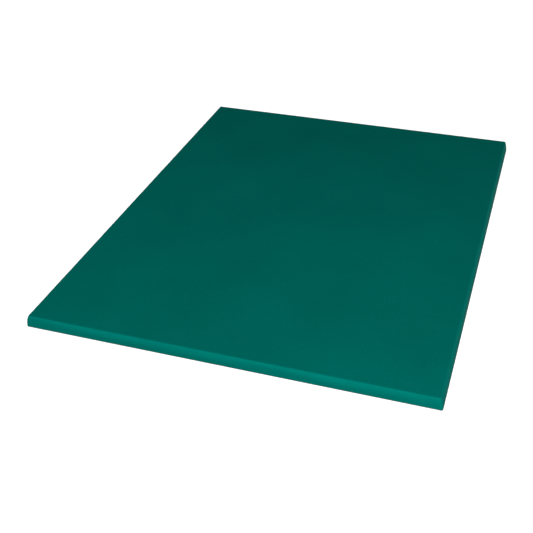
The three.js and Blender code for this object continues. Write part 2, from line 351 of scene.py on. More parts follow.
class Surface:
    """A material with a principled shader, and short ways to add and join nodes."""

    def __init__(self, name, roughness, metallic=0.0, specular=0.5):
        self.material = bpy.data.materials.new(name)
        self.material.use_nodes = True
        self.tree = self.material.node_tree
        self.shader = self.tree.nodes["Principled BSDF"]
        self.shader.inputs["Roughness"].default_value = roughness
        self.shader.inputs["Metallic"].default_value = metallic
        self.shader.inputs["Specular IOR Level"].default_value = specular
        self.place = self.add("ShaderNodeTexCoord").outputs["Object"]

    def feed(self, socket, value):
        """Joins a socket to another node's socket, or sets its number or colour."""
        if isinstance(value, bpy.types.NodeSocket):
            self.tree.links.new(value, socket)
        elif socket.type == "RGBA":
            socket.default_value = (*value, 1.0)
        else:
            socket.default_value = value

    def add(self, kind, settings=None, **inputs):
        node = self.tree.nodes.new(kind)
        for key, value in (settings or {}).items():
            setattr(node, key, value)
        for key, value in inputs.items():
            self.feed(node.inputs[key.replace("_", " ")], value)
        return node

    def noise(self, scale, detail=3.0, place=None):
        return self.add(
            "ShaderNodeTexNoise", Vector=place or self.place, Scale=scale, Detail=detail
        ).outputs["Fac"]

    def cells(self, scale, output="Distance", feature="F1", randomness=1.0):
        return self.add(
            "ShaderNodeTexVoronoi", {"feature": feature},
            Vector=self.place, Scale=scale, Randomness=randomness,
        ).outputs[output]

    def bands(self, pitch, direction, distortion=0.0):
        """Soft stripes of that pitch in metres across that direction: X, Y, Z or DIAGONAL."""
        return self.add(
            "ShaderNodeTexWave", {"bands_direction": direction},
            Vector=self.place, Scale=math.pi / 10 / pitch, Distortion=distortion,
        ).outputs["Fac"]

    def stretched(self, x, y, z):
        return self.add("ShaderNodeMapping", Vector=self.place, Scale=(x, y, z)).outputs["Vector"]

    def ramp(self, value, low, high, to_low=0.0, to_high=1.0):
        return self.add(
            "ShaderNodeMapRange",
            Value=value, From_Min=low, From_Max=high, To_Min=to_low, To_Max=to_high,
        ).outputs["Result"]

    def math(self, operation, a, b):
        node = self.add("ShaderNodeMath", {"operation": operation})
        self.feed(node.inputs[0], a)
        self.feed(node.inputs[1], b)
        return node.outputs["Value"]

    def edges(self):
        """1 where the surface is tilted halfway between level and upright, as on an edge."""
        normal = self.add("ShaderNodeNewGeometry").outputs["Normal"]
        up = self.add("ShaderNodeSeparateXYZ", Vector=normal).outputs["Z"]
        return self.math("MULTIPLY", self.ramp(up, 0.2, 0.6), self.ramp(up, 0.75, 0.97, 1, 0))

    def mix(self, factor, a, b):
        node = self.add("ShaderNodeMix", {"data_type": "RGBA"})
        factor_socket, a_socket, b_socket = (node.inputs[i] for i in (0, 6, 7))
        self.feed(factor_socket, factor)
        self.feed(a_socket, a)
        self.feed(b_socket, b)
        return node.outputs[2]

    def set(self, name, value):
        self.tree.links.new(value, self.shader.inputs[name])

    def bump(self, *layers):
        """Each layer is (height, depth in metres of a change from 0 to 1)."""
        normal = None
        for height, depth in layers:
            node = self.add("ShaderNodeBump", Height=height, Distance=depth)
            if normal is not None:
                self.tree.links.new(normal, node.inputs["Normal"])
            normal = node.outputs["Normal"]
        self.set("Normal", normal)


TEAL = (0.0, 0.0712, 0.0583)


def tone(colour, share):
    """A lighter or darker tone of a colour."""
    return tuple(c * share for c in colour)


def cover_vinyl():
    """Dull coated fabric: a fine pebble grain, with the weave of its scrim just showing,
    lighter where it is rubbed, lighter on its upward-facing rounded edges with edge wear and a
    painted highlight, and darker between the pebbles with painted shade."""
    s = Surface("cover_vinyl", roughness=0.42, specular=0.0008)
    cloudy = s.ramp(s.noise(4.5, 4), 0.3, 0.7)
    fine = s.noise(70, 5)
    base = s.mix(cloudy, tone(TEAL, 0.94), tone(TEAL, 1.07))
    rubbed = s.ramp(fine, 0.62, 0.8, 0, 0.35)
    # The upward-facing rounded edges get a lighter tone: partly edge wear, partly a painted
    # highlight along the top edge where the key light falls. worn carries both.
    edge_wear_and_highlight = s.math("MULTIPLY", s.edges(), s.ramp(s.noise(30, 4), 0.25, 0.6, 0.5, 1))
    worn = s.mix(edge_wear_and_highlight, base, tone(TEAL, 1.24))
    grain = s.cells(620, "Distance", "SMOOTH_F1")
    pebble = s.ramp(grain, 0.15, 0.6, 1, 0)
    shown = s.mix(rubbed, worn, tone(TEAL, 1.3))
    # Painted shade: the colour is darker between the pebbles, in the hollows of the grain.
    s.set("Base Color", s.mix(s.ramp(pebble, 0, 1, 0.3, 0), shown, tone(TEAL, 0.66)))
    s.set("Roughness", s.ramp(fine, 0.3, 0.7, 0.37, 0.5))
    weave = s.math("MAXIMUM", s.bands(1.5 * MM, "X"), s.bands(1.5 * MM, "Y"))
    s.bump((pebble, 0.14 * MM), (weave, 0.03 * MM), (s.noise(240, 3), 0.12 * MM))
    return s.material


def base_vinyl():
    """The non-slip underside: a rubbery face with small round studs in rows."""
    s = Surface("base_vinyl", roughness=0.8, specular=0.3)
    stud = s.ramp(s.cells(260, randomness=0.0), 0.2, 0.42, 1, 0)
    dusty = s.ramp(s.noise(9, 5), 0.42, 0.75)
    dark = s.mix(stud, (0.010, 0.014, 0.013), (0.020, 0.027, 0.025))
    s.set("Base Color", s.mix(s.math("MULTIPLY", dusty, 0.5), dark, (0.050, 0.056, 0.053)))
    s.set("Roughness", s.ramp(stud, 0, 1, 0.88, 0.7))
    s.bump((stud, 0.5 * MM), (s.noise(1400, 3), 0.05 * MM))
    return s.material


def firm_foam():
    """Closed-cell foam: pale, with a fine pored skin."""
    s = Surface("firm_foam", roughness=0.85, specular=0.25)
    mottle = s.ramp(s.noise(22, 4), 0.3, 0.7)
    pores = s.cells(1500)
    colour = s.mix(mottle, (0.66, 0.64, 0.57), (0.74, 0.72, 0.66))
    s.set("Base Color", s.mix(s.ramp(pores, 0.0, 0.25, 0.35, 0), colour, (0.45, 0.43, 0.37)))
    s.bump((pores, 0.1 * MM), (s.noise(110, 4), 0.25 * MM))
    return s.material


def chip_foam():
    """Rebonded foam: crumbs of many colours pressed together."""
    s = Surface("chip_foam", roughness=0.95, specular=0.15)
    crumb = s.add("ShaderNodeTexVoronoi", Vector=s.place, Scale=110.0)
    pick = s.add("ShaderNodeSeparateColor", Color=crumb.outputs["Color"]).outputs["Red"]
    ramp = s.add("ShaderNodeValToRGB", Fac=pick)
    palette = (
        (0.10, 0.14, 0.20), (0.46, 0.47, 0.46), (0.20, 0.30, 0.42), (0.62, 0.58, 0.48),
        (0.17, 0.30, 0.24), (0.38, 0.20, 0.18), (0.30, 0.31, 0.33),
    )
    ramp.color_ramp.interpolation = "CONSTANT"
    for i, colour in enumerate(palette):
        stops = ramp.color_ramp.elements
        stop = stops[i] if i < 2 else stops.new(i / len(palette))
        stop.position = i / len(palette)
        stop.color = (*colour, 1)
    pores = s.ramp(s.noise(900, 3), 0.35, 0.7, 0, 0.5)
    s.set("Base Color", s.mix(pores, ramp.outputs["Color"], (0.05, 0.05, 0.06)))
    edge = s.cells(110, "Distance", "DISTANCE_TO_EDGE")
    s.bump((s.ramp(edge, 0, 0.12), 0.6 * MM), (s.noise(1300, 3), 0.15 * MM))
    return s.material


def sewing_thread():
    """Twisted polyester thread."""
    s = Surface("sewing_thread", roughness=0.6, specular=0.3)
    twist = s.bands(0.35 * MM, "DIAGONAL")
    s.set("Base Color", s.mix(twist, (0.0, 0.030, 0.025), (0.0, 0.085, 0.072)))
    s.bump((twist, 0.06 * MM))
    return s.material


def zip_tape():
    """Woven tape: a herringbone of fine ribs."""
    s = Surface("zip_tape", roughness=0.9, specular=0.2)
    ribs = s.math("MAXIMUM", s.bands(0.55 * MM, "DIAGONAL", 0.4), s.bands(0.9 * MM, "Z"))
    lint = s.ramp(s.noise(500, 4), 0.5, 0.8, 0, 0.3)
    colour = s.mix(ribs, (0.006, 0.010, 0.010), (0.022, 0.030, 0.030))
    s.set("Base Color", s.mix(lint, colour, (0.05, 0.06, 0.06)))
    s.bump((ribs, 0.1 * MM))
    return s.material


def zip_coil():
    """Polyester monofilament."""
    s = Surface("zip_coil", roughness=0.38, specular=0.5)
    worn = s.ramp(s.noise(300, 3), 0.45, 0.75)
    s.set("Base Color", s.mix(worn, (0.014, 0.018, 0.018), (0.035, 0.042, 0.042)))
    s.set("Roughness", s.ramp(worn, 0, 1, 0.32, 0.5))
    s.bump((s.noise(2500, 2), 0.02 * MM))
    return s.material


def zip_metal():
    """Nickel-plated zinc, a little scratched."""
    s = Surface("zip_metal", roughness=0.3, metallic=1.0)
    cloudy = s.ramp(s.noise(400, 4), 0.35, 0.7)
    scratches = s.noise(900, 2, s.stretched(0.15, 1, 1))
    s.set("Base Color", s.mix(cloudy, (0.60, 0.59, 0.56), (0.76, 0.75, 0.72)))
    s.set("Roughness", s.ramp(scratches, 0.35, 0.7, 0.22, 0.42))
    s.bump((scratches, 0.012 * MM))
    return s.material


makers = (
    cover_vinyl, base_vinyl, firm_foam, chip_foam, sewing_thread, zip_tape, zip_coil, zip_metal,
)
materials = {maker.__name__: maker() for maker in makers}


def finish_piece(piece, slot, *nodes, body="mat"):
    """Gives a piece its material and slot and its body, and hides the CAD nodes that it stands
    for.
    """
    piece.data.materials.clear()
    piece.data.materials.append(materials[slot])
    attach(piece, body)
    if nodes:
        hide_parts(*nodes)


# ---- The cover's top and base --------------------------------------------------------

def top_ripple(x, y):
    return puckers(x, y, TOP_PUCKERS)


def top_panel():
    centre = (TOP_EDGE, HEIGHT - TOP_EDGE)
    outer = arc(centre, TOP_EDGE, math.pi / 2, TOP_SEAM_ANGLE, 9)
    inner = arc(centre, TOP_EDGE - VINYL, math.pi / 2, TOP_SEAM_ANGLE, 9)
    piece = quilt("cover_top", top_low, top_high, CORNER, outer, inner, top_lift, top_ripple)
    finish_piece(piece, "cover_vinyl", "top_panel")


def base_panel():
    low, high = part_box("base_panel")
    flat_part = [CORNER, 0, 0, -1]
    centre = (BASE_EDGE, BASE_EDGE)
    outer = arc(centre, BASE_EDGE, -math.pi / 2, -BASE_SEAM_ANGLE, 6)
    inner = arc(centre, BASE_EDGE - BASE_FABRIC, -math.pi / 2, -BASE_SEAM_ANGLE, 6)
    inner_flat = [CORNER, BASE_FABRIC, 0, -1]
    piece = quilt(
        "cover_base", low, high, CORNER,
        np.vstack([inner_flat, inner]), np.vstack([flat_part, outer]), flat, flat, cell=15 * MM,
    )
    settle(piece)
    finish_piece(piece, "base_vinyl", "base_panel")


# ---- The walls -----------------------------------------------------------------------

def side_stations(half_length):
    """Stations along a wall from one corner seam to the other: the place of each on the
    straight part, the angle that it has turned into a corner, and its share of the length."""
    straight = half_length - CORNER
    count = round(2 * straight / CELL) + 1
    core = np.linspace(-straight, straight, count)
    turn = (math.pi / 4 - CORNER_GAP) * np.arange(1, FAN + 1) / FAN
    core = np.concatenate([np.full(FAN, -straight), core, np.full(FAN, straight)])
    angle = np.concatenate([-turn[::-1], np.zeros(count), turn])
    length = core + CORNER * angle
    return core, angle, length / length.max()


def wall_move(along, z, x, y, angle, seed, bulge, rows):
    """How far the outer face of a wall stands out at a place along it and a height. rows
    are the heights of the rows of stitches that hold it to the zip."""
    rise = np.clip((z - BULGE_LOW) / (BULGE_HIGH - BULGE_LOW), 0, 1)
    rounded = np.sin(math.pi * rise**1.25)
    from_corner = np.maximum(HALF_X - np.abs(x), HALF_Y - np.abs(y))
    corner = np.where(y < 0, FRONT_CORNER_BULGE, BACK_CORNER_BULGE)
    middle = bulge * (1 + 0.22 * waves(along, z * 4, BULGE_WAVE, seed))
    swell = rounded * (corner + (middle - corner) * smooth(from_corner, 0, BULGE_REACH))
    near_top = np.exp(-np.maximum(HEIGHT - TOP_EDGE - z, 0) / (6 * MM))
    near_base = np.exp(-np.maximum(z - BASE_EDGE, 0) / (5 * MM))
    ripples = top_ripple(x, y) * near_top + puckers(x, y, BASE_PUCKERS) * near_base
    from_seam = (math.pi / 4 - np.abs(angle)) * CORNER
    pinch = CORNER_PINCH * np.exp(-((from_seam / PINCH_WIDTH) ** 2))
    dip = 0 * z
    for row in rows:
        dip = dip + STITCH_DIP * np.exp(-(((z - row) / STITCH_DIP_WIDTH) ** 2))
    return swell + ripples - pinch - dip


ALLOWANCE_START = (1.2 * MM, 4 * MM)  # how far in a seam allowance stops moving with the wall


def wall(name, node, turn, section, cut, **shape):
    """A wall strip with a closed section of (inward, height) points, swept along a side.
    turn is 0 for the front wall and 1, 2 and 3 for the right, back and left ones."""
    across = turn % 2 == 0
    half_length = HALF_X if across else HALF_Y
    half_out = HALF_Y if across else HALF_X
    core, angle, share = side_stations(half_length)
    rings = []
    for inward, z in section:
        if inward < CORNER:
            along = core + (CORNER - inward) * np.sin(angle)
            out = half_out - CORNER + (CORNER - inward) * np.cos(angle)
        else:
            along = share * (half_length - inward - CORNER * CORNER_GAP)
            out = np.full(len(core), half_out - inward)
        rings.append((along, out, np.full(len(core), z)))
    along, out, z = (np.stack(part) for part in zip(*rings))
    quarter = turn * math.pi / 2
    cos = round(math.cos(quarter))
    sin = round(math.sin(quarter))

    def placed(a, o):
        return a * cos + o * sin, a * sin - o * cos

    x, y = placed(along, out)
    outer = 1 - smooth(half_out - out, *ALLOWANCE_START)
    move = outer * wall_move(along, z, x, y, angle[None, :], **shape)
    x, y = placed(along + move * np.sin(angle), out + move * np.cos(angle))
    vertices = np.stack([x.T, y.T, z.T], axis=2).reshape(-1, 3)
    piece = new_piece(name, vertices, ring_faces(len(core), len(section)))
    settle(piece)
    finish_piece(piece, "cover_vinyl", node)


def thickened(line, thickness):
    """The closed outline of a cloth whose middle runs along line."""
    along = np.gradient(line, axis=0)
    along /= np.linalg.norm(along, axis=1)[:, None]
    side = np.stack([along[:, 1], -along[:, 0]], axis=1) * thickness / 2
    return np.vstack([line + side, (line - side)[::-1]])


# The middle of a wall's cloth, in millimetres: (inward, height). Each seam allowance
# lies along the foam, and the cloth curls into the seam and then runs up the wall.
CLOTH = VINYL / MM
OUTER = CLOTH / 2  # from the cover's outer face to the middle of its cloth
BASE_ALLOWANCE = [
    (10, 1.6), (7.5, 1.6), (5, 1.62), (3, 1.85), (1.6, 2.02), (0.85, 2.1), (0.42, 2.55),
]
TOP_ALLOWANCE = [
    (0.3, 24.2), (0.32, 25.8), (0.42, 26.7), (0.72, 27.22), (1.25, 27.42), (2.2, 27.7),
    (4.2, 28.4), (5.8, 28.78), (7.6, 28.8), (10, 28.8),
]
HEM_LAYERS = 0.66  # between the middles of a hem's two layers of cloth
HEM_DEPTH = 4.4  # how far the turned-in layer reaches back from the fold
HEM_START = 1.1  # from the fold to where the turned-in layer runs straight
OUTER_START = 1.4  # the same for the outer layer
FOLD_STEPS = 9


def whole_section():
    straight = [(OUTER, z) for z in np.linspace(3.4, 22.5, 8)]
    return thickened(spline(BASE_ALLOWANCE + straight + TOP_ALLOWANCE, 2), CLOTH) * MM


def hem(edge, up):
    """The middle of a hem's cloth, from the end of its turned-in layer round to its outer
    layer. The fold is at that height, and the cloth lies above it if up, or else below."""
    side = 1 if up else -1
    radius = HEM_LAYERS / 2
    centre = edge + side * (OUTER + radius)
    fold = [
        (OUTER + radius + radius * math.cos(t), centre - side * radius * math.sin(t))
        for t in np.linspace(0, math.pi, FOLD_STEPS)
    ]
    turned_in = [
        (OUTER + HEM_LAYERS, edge + side * back)
        for back in np.linspace(HEM_DEPTH, HEM_START, 4)
    ]
    return turned_in + fold


def upper_section(edge):
    straight = [(OUTER, edge + OUTER_START)]
    line = np.vstack([hem(edge, up=True), straight, spline(TOP_ALLOWANCE, 2)])
    return thickened(line, CLOTH) * MM


def lower_section(edge):
    curl = spline([*BASE_ALLOWANCE, (OUTER, 3.4)], 2)
    straight = [(OUTER, 4.6), (OUTER, edge - OUTER_START)]
    line = np.vstack([curl, straight, hem(edge, up=False)[::-1]])
    return thickened(line, CLOTH) * MM


WALL_CUT = 48 * MM  # the width that a wall strip is cut to, with both its allowances
BACK_CUT = 22 * MM  # the same for a strip beside the zip, with its hem


stitch_rows = [middle_height("zip_thread_" + half) for half in ("upper", "lower")]
BACK_SHAPE = {"seed": 23, "bulge": ZIP_BULGE, "rows": stitch_rows}


def walls():
    whole = whole_section()
    front = {"seed": 21, "bulge": SHORT_BULGE, "rows": ()}
    right = {"seed": 22, "bulge": LONG_BULGE, "rows": ()}
    left = {"seed": 24, "bulge": LONG_BULGE, "rows": ()}
    wall("cover_front_wall", "front_wall", 0, whole, WALL_CUT, **front)
    wall("cover_right_wall", "right_wall", 1, whole, WALL_CUT, **right)
    wall("cover_left_wall", "left_wall", 3, whole, WALL_CUT, **left)
    upper = upper_section(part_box("back_wall_upper")[0].z / MM)
    lower = lower_section(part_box("back_wall_lower")[1].z / MM)
    wall("cover_back_wall_upper", "back_wall_upper", 2, upper, BACK_CUT, **BACK_SHAPE)
    wall("cover_back_wall_lower", "back_wall_lower", 2, lower, BACK_CUT, **BACK_SHAPE)


# ---- The foam ------------------------------------------------------------------------

FOAM_CORNER = 11 * MM
REBATE = 10 * MM  # how far in from the foam's edge the seam allowances press into it
REBATE_EDGE = 0.4 * MM  # half the width of the slope down to the rebated rim
FOAM_EDGE = 1.5 * MM
FOAM_CELL = 20 * MM
FOAM_SWELL = 0.06 * MM
FOAM_SWELL_WAVE = 140 * MM


def foam_unevenness(x, y):
    return FOAM_SWELL * (waves(x, y, FOAM_SWELL_WAVE, 71) - 1)


def foam_profile(face, rim, middle):
    """The edge of one face of a layer: flat, down to the rebated rim, and over its edge."""
    up = 1 if face > middle else -1
    points = [[FOAM_CORNER, face, 0, up]]
    if abs(face - rim) > 0.1 * MM:
        points += [
            [REBATE + REBATE_EDGE, face - up * 0.1 * MM, 0, up],
            [REBATE - REBATE_EDGE, rim + up * 0.2 * MM, 0, up],
            [REBATE - 3 * REBATE_EDGE, rim, 0, up],
        ]
    centre = (FOAM_EDGE, rim - up * FOAM_EDGE)
    return np.vstack([points, arc(centre, FOAM_EDGE, up * math.pi / 2, 0, 5)])


def foam(name, node, slot, rim_low, rim_high):
    low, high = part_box(node)
    middle = middle_height(node)
    outer = foam_profile(high.z, rim_high, middle)
    inner = foam_profile(low.z, rim_low, middle)
    piece = quilt(
        name, low, high, FOAM_CORNER, outer, inner, foam_unevenness, flat, cell=FOAM_CELL
    )
    finish_piece(piece, slot, node)


def foams():
    base_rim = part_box("base_seam_thread")[1].z + CLEARANCE
    base_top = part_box("foam_base_layer")[1].z
    top_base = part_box("foam_top_layer")[0].z
    top_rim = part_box("top_seam_thread")[0].z - CLEARANCE
    foam("foam_base", "foam_base_layer", "chip_foam", base_rim, base_top)
    foam("foam_top", "foam_top_layer", "firm_foam", top_base, top_rim)


# ---- The sewing thread ---------------------------------------------------------------

STITCH = 3.4 * MM
THREAD_RADIUS = 0.27 * MM
POINTS_PER_STITCH = 10
THREAD_PROUD = 0.16 * MM  # from the cloth to the thread's middle, between two needle holes
NEEDLE_DIP = 0.6 * MM
NEEDLE_WIDTH = 0.09  # of a stitch
SEAM_CORNER = 4 * MM
SEAM_SWAY = 0.1 * MM
CORNER_SWAY = 0.05 * MM


def stitch_height(along):
    """How far a thread stands off the cloth: it lies on it, and dips into each needle hole."""
    phase = np.mod(along / STITCH, 1)
    return THREAD_PROUD - NEEDLE_DIP * np.exp(-(((phase - 0.5) / NEEDLE_WIDTH) ** 2))


def zip_stitches(name, node):
    low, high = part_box(node)
    x = np.arange(low.x, high.x, STITCH / POINTS_PER_STITCH)
    z = np.full(len(x), middle_height(node))
    move = wall_move(-x, z, x, HALF_Y + 0 * x, 0 * x, **BACK_SHAPE)
    y = HALF_Y + move + stitch_height(x)
    piece = tube(name, np.stack([x, y, z], axis=1), THREAD_RADIUS, 6, (0, 0, 1))
    finish_piece(piece, "sewing_thread", node)


def seam_stitches(name, node):
    """The stitches of a seam that runs all the way round, inside the cover."""
    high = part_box(node)[1]
    half_x = high.x - THREAD_RADIUS
    half_y = high.y - THREAD_RADIUS
    loop = np.array(rounded_outline(-half_x, -half_y, half_x, half_y, SEAM_CORNER, steps=7))
    loop = np.vstack([loop, loop[:1]])
    steps = np.linalg.norm(np.diff(loop, axis=0), axis=1)
    travelled = np.concatenate([[0], np.cumsum(steps)])
    count = round(travelled[-1] / STITCH) * 4
    at = np.linspace(0, travelled[-1], count, endpoint=False)
    x = np.interp(at, travelled, loop[:, 0])
    y = np.interp(at, travelled, loop[:, 1])
    z = middle_height(node) + SEAM_SWAY * np.cos(np.arange(count) * math.pi / 2)
    piece = tube(name, np.stack([x, y, z], axis=1), THREAD_RADIUS, 5, (0, 0, 1), closed=True)
    finish_piece(piece, "sewing_thread", node)


def corner_stitches(name, node):
    low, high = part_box(node)
    z = np.arange(low.z + THREAD_RADIUS, high.z - THREAD_RADIUS, STITCH / 6)
    sway = CORNER_SWAY * np.sin(2 * math.pi * z / STITCH)
    x = (low.x + high.x) / 2 + sway
    y = (low.y + high.y) / 2 + 0 * z
    piece = tube(name, np.stack([x, y, z], axis=1), THREAD_RADIUS, 6, (1, 0, 0))
    finish_piece(piece, "sewing_thread", node)


def threads():
    seam_stitches("top_seam_stitches", "top_seam_thread")
    seam_stitches("base_seam_stitches", "base_seam_thread")
    for corner in ("front_left", "front_right", "back_left", "back_right"):
        corner_stitches("corner_stitches_" + corner, "corner_thread_" + corner)
    for half in ("upper", "lower"):
        zip_stitches("zip_stitches_" + half, "zip_thread_" + half)


# ---- The zip -------------------------------------------------------------------------

COIL_PITCH = 1.6 * MM
COIL_WIRE = 0.37 * MM  # radius of the monofilament
COIL_STEPS = 12  # points on each turn
COIL_NOSE_GAP = 0.58 * MM  # from the middle of the chain to the nose of each tooth
TAPE_STEP = 6 * MM
TAPE_CAUGHT = 1.5 * MM  # how far each end of a tape runs into the corner seam
TAPE_SWAY = 0.06 * MM
COIL_SEAMS = (("inner", -0.22), ("outer", 0.45))  # where across a coil its two seams run
COIL_SEAM_RADIUS = 0.17 * MM
COIL_SEAM_SINK = 0.02 * MM
COIL_SEAM_SWAY = 0.05 * MM
STOP_FLANK = ((0.3, 1), (0.75, 1), (0.93, 0.9), (1, 0.72))  # (place, size) along half a stop

zip_z = middle_height("zip_slider")


def tape(name, node):
    """A flat strip of woven cloth with round edges."""
    low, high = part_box(node)
    middle = (low.y + high.y) / 2
    turn = np.linspace(0, 2 * math.pi, 16, endpoint=False)
    across = (high.z - low.z) / 2 * squared(np.cos(turn), 0.25)
    depth = (high.y - low.y) / 2 * squared(np.sin(turn), 0.6)
    length = high.x - low.x + 2 * TAPE_CAUGHT
    x = np.linspace(low.x - TAPE_CAUGHT, high.x + TAPE_CAUGHT, round(length / TAPE_STEP))
    sway = TAPE_SWAY * waves(x, 0 * x, 60 * MM, len(name))
    vertices = [
        (place, middle + dy + moved, middle_height(node) + dz)
        for place, moved in zip(x, sway)
        for dz, dy in zip(across, depth)
    ]
    piece = new_piece(name, vertices, ring_faces(len(x), len(turn)), sharp=50)
    settle(piece)
    finish_piece(piece, "zip_tape", node)


def coil(name, node, side):
    """One row of teeth: a flattened spiral of monofilament, whose turns are the teeth."""
    low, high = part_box(node)
    far = high.z - zip_z if side > 0 else zip_z - low.z
    reach = (far - COIL_NOSE_GAP) / 2 - COIL_WIRE
    depth = (high.y - low.y) / 2 - COIL_WIRE
    centre_y = (low.y + high.y) / 2
    centre_z = zip_z + side * (far + COIL_NOSE_GAP) / 2
    turns = int((high.x - low.x - 2 * COIL_WIRE) / COIL_PITCH) - 1
    step = np.arange(turns * COIL_STEPS + 1) / COIL_STEPS
    phase = 0 if side > 0 else 0.5
    x = low.x + COIL_WIRE + COIL_PITCH * (step + phase)
    angle = 2 * math.pi * step
    y = centre_y + depth * np.sin(angle)
    z = centre_z - side * reach * np.cos(angle)
    piece = tube(name, np.stack([x, y, z], axis=1), COIL_WIRE, 5, (1, 0, 0))
    finish_piece(piece, "zip_coil", node)
    line = np.arange(low.x + COIL_PITCH, high.x - COIL_PITCH, COIL_PITCH / 2)
    rise = COIL_SEAM_SWAY * np.cos(2 * math.pi * (line - low.x) / COIL_PITCH)
    for row, share in COIL_SEAMS:
        height = centre_z + side * share * (far - COIL_NOSE_GAP) / 2
        over = high.y - COIL_SEAM_SINK + rise
        points = np.stack([line, over, np.full(len(line), height)], axis=1)
        seam = tube(f"{name}_thread_{row}", points, COIL_SEAM_RADIUS, 5, (0, 0, 1))
        finish_piece(seam, "zip_tape")


def crimped(name, node, waist=0.86):
    """A metal stop, squeezed round the end of the chain: rounded, and pinched in the middle."""
    low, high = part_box(node)
    centre = (low + high) / 2
    size = high - low
    turn = np.linspace(0, 2 * math.pi, 24, endpoint=False)
    section_y = squared(np.cos(turn), 0.45)
    section_z = squared(np.sin(turn), 0.45)
    near_half = [(-place, scale) for place, scale in reversed(STOP_FLANK)]
    places = [*near_half, (0, waist), *STOP_FLANK]
    vertices = [
        (centre.x + size.x / 2 * place,
         centre.y + size.y / 2 * sy * (scale if abs(place) > 0.5 else 1),
         centre.z + size.z / 2 * sz * scale)
        for place, scale in places
        for sy, sz in zip(section_y, section_z)
    ]
    piece = new_piece(name, vertices, ring_faces(len(places), len(turn)), sharp=50)
    finish_piece(piece, "zip_metal", node)


# ---- The slider and its puller -------------------------------------------------------

def plate(name, outlines, low, high, bevel, along):
    """A flat plate with softened edges. outlines are its outer edge and its holes, in the
    two directions of along, and it is solid from low to high in the third."""
    curve = bpy.data.curves.new(name, "CURVE")
    curve.dimensions = "2D"
    curve.fill_mode = "BOTH"
    curve.extrude = (high - low) / 2 - bevel
    curve.bevel_depth = bevel
    curve.bevel_resolution = 2
    curve.offset = -bevel
    for outline in outlines:
        line = curve.splines.new("POLY")
        line.points.add(len(outline) - 1)
        line.use_cyclic_u = True
        for point, (u, v) in zip(line.points, outline):
            point.co = (u, v, 0, 1)
    drawn = bpy.data.objects.new(name, curve)
    mesh = bpy.data.meshes.new_from_object(drawn)
    bpy.data.objects.remove(drawn)
    bpy.data.curves.remove(curve)
    mesh.name = name
    middle = (low + high) / 2
    third = ({0, 1, 2} - set(along)).pop()
    for vertex in mesh.vertices:
        u, v, w = vertex.co
        place = [0, 0, 0]
        place[along[0]], place[along[1]], place[third] = u, v, middle + w
        vertex.co = place
    solid = bmesh.new()
    solid.from_mesh(mesh)
    bmesh.ops.remove_doubles(solid, verts=solid.verts, dist=1e-7)
    bmesh.ops.recalc_face_normals(solid, faces=solid.faces)
    solid.to_mesh(mesh)
    solid.free()
    piece = bpy.data.objects.new(name, mesh)
    bpy.context.scene.collection.objects.link(piece)
    return piece


def united(name, parts):
    """One body from parts that overlap."""
    whole = parts[0]
    for part in parts[1:]:
        join = whole.modifiers.new("join", "BOOLEAN")
        join.operation = "UNION"
        join.solver = "EXACT"
        join.object = part
        depsgraph = bpy.context.evaluated_depsgraph_get()
        mesh = bpy.data.meshes.new_from_object(whole.evaluated_get(depsgraph))
        whole.modifiers.clear()
        whole.data = mesh
        bpy.data.objects.remove(part)
    whole.name = name
    whole.data.name = name
    shade(whole, 40)
    return whole


SLIDER_PLATE = 1.1 * MM
SLIDER_CORNER = 2.2 * MM
SLIDER_TAPER = 0.7 * MM
SLIDER_BEVEL = 0.3 * MM
LIP = 1.0 * MM
LIP_START = 1.2 * MM  # from the slider's narrow end
LIP_END = 1.6 * MM  # from its wide end
LIP_INSET = 0.02 * MM  # from the slider's outside
LIP_BEVEL = 0.1 * MM
POST_LENGTH = 5 * MM
POST_WIDTH = 1.0 * MM
POST_CORNER = 0.45 * MM
POST_BEVEL = 0.02 * MM
ARCH_LENGTH = 7.2 * MM
ARCH_RISE = 2.6 * MM
ARCH_WIDTH = 2.0 * MM
ARCH_BAND = 0.8 * MM  # the thickness of its metal
ARCH_BEVEL = 0.15 * MM
ARCH_SINK = 0.35 * MM  # how far its feet run into the outer plate
POST_SINK = 0.4 * MM
PULLER_BAR = 0.45 * MM  # from the hinge line to the end of the tab
PULLER_WINDOW = 4.7 * MM  # from the hinge line to the far end of the window
PULLER_WINDOW_WIDTH = 3.0 * MM
PULLER_WINDOW_CORNER = 0.4 * MM
PULLER_HOLE = 1.5 * MM
PULLER_CORNER = 0.44 * MM
PULLER_END_CORNER = 2.6 * MM
PULLER_BEVEL = 0.16 * MM
XZ = (0, 2)  # the plane of a plate that faces along Y
XY = (0, 1)

slider_low, slider_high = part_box("zip_slider")
coil_low, coil_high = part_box("zip_coil_upper")
plate_back = coil_high.y + CLEARANCE
plate_front = plate_back + SLIDER_PLATE


def slider_plates():
    """The two plates that hold the chain between them, narrower at one end."""
    face = rounded_outline(
        slider_low.x, slider_low.z, slider_high.x, slider_high.z,
        SLIDER_CORNER, taper=SLIDER_TAPER, steps=8,
    )
    inner_front = slider_low.y + SLIDER_PLATE
    return [
        plate("slider_outer", [face], plate_back, plate_front, SLIDER_BEVEL, XZ),
        plate("slider_inner", [face], slider_low.y, inner_front, SLIDER_BEVEL, XZ),
    ]


def slider_lip(edge):
    """A lip from that height up, along the outside of a coil."""
    lip = rounded_outline(
        slider_low.x + LIP_START, edge + LIP_INSET,
        slider_high.x - LIP_END, edge + LIP - LIP_INSET, 0.3 * MM,
    )
    front = plate_front - SLIDER_BEVEL
    return plate("slider_lip", [lip], coil_low.y, front, LIP_BEVEL, XZ)


def slider_post():
    """The wedge between the two coils, which parts them."""
    post = rounded_outline(
        slider_high.x - POST_LENGTH, zip_z - POST_WIDTH / 2,
        slider_high.x - SLIDER_BEVEL, zip_z + POST_WIDTH / 2, POST_CORNER,
    )
    back = slider_low.y + POST_SINK
    front = plate_front - POST_SINK
    return plate("slider_post", [post], back, front, POST_BEVEL, XZ)


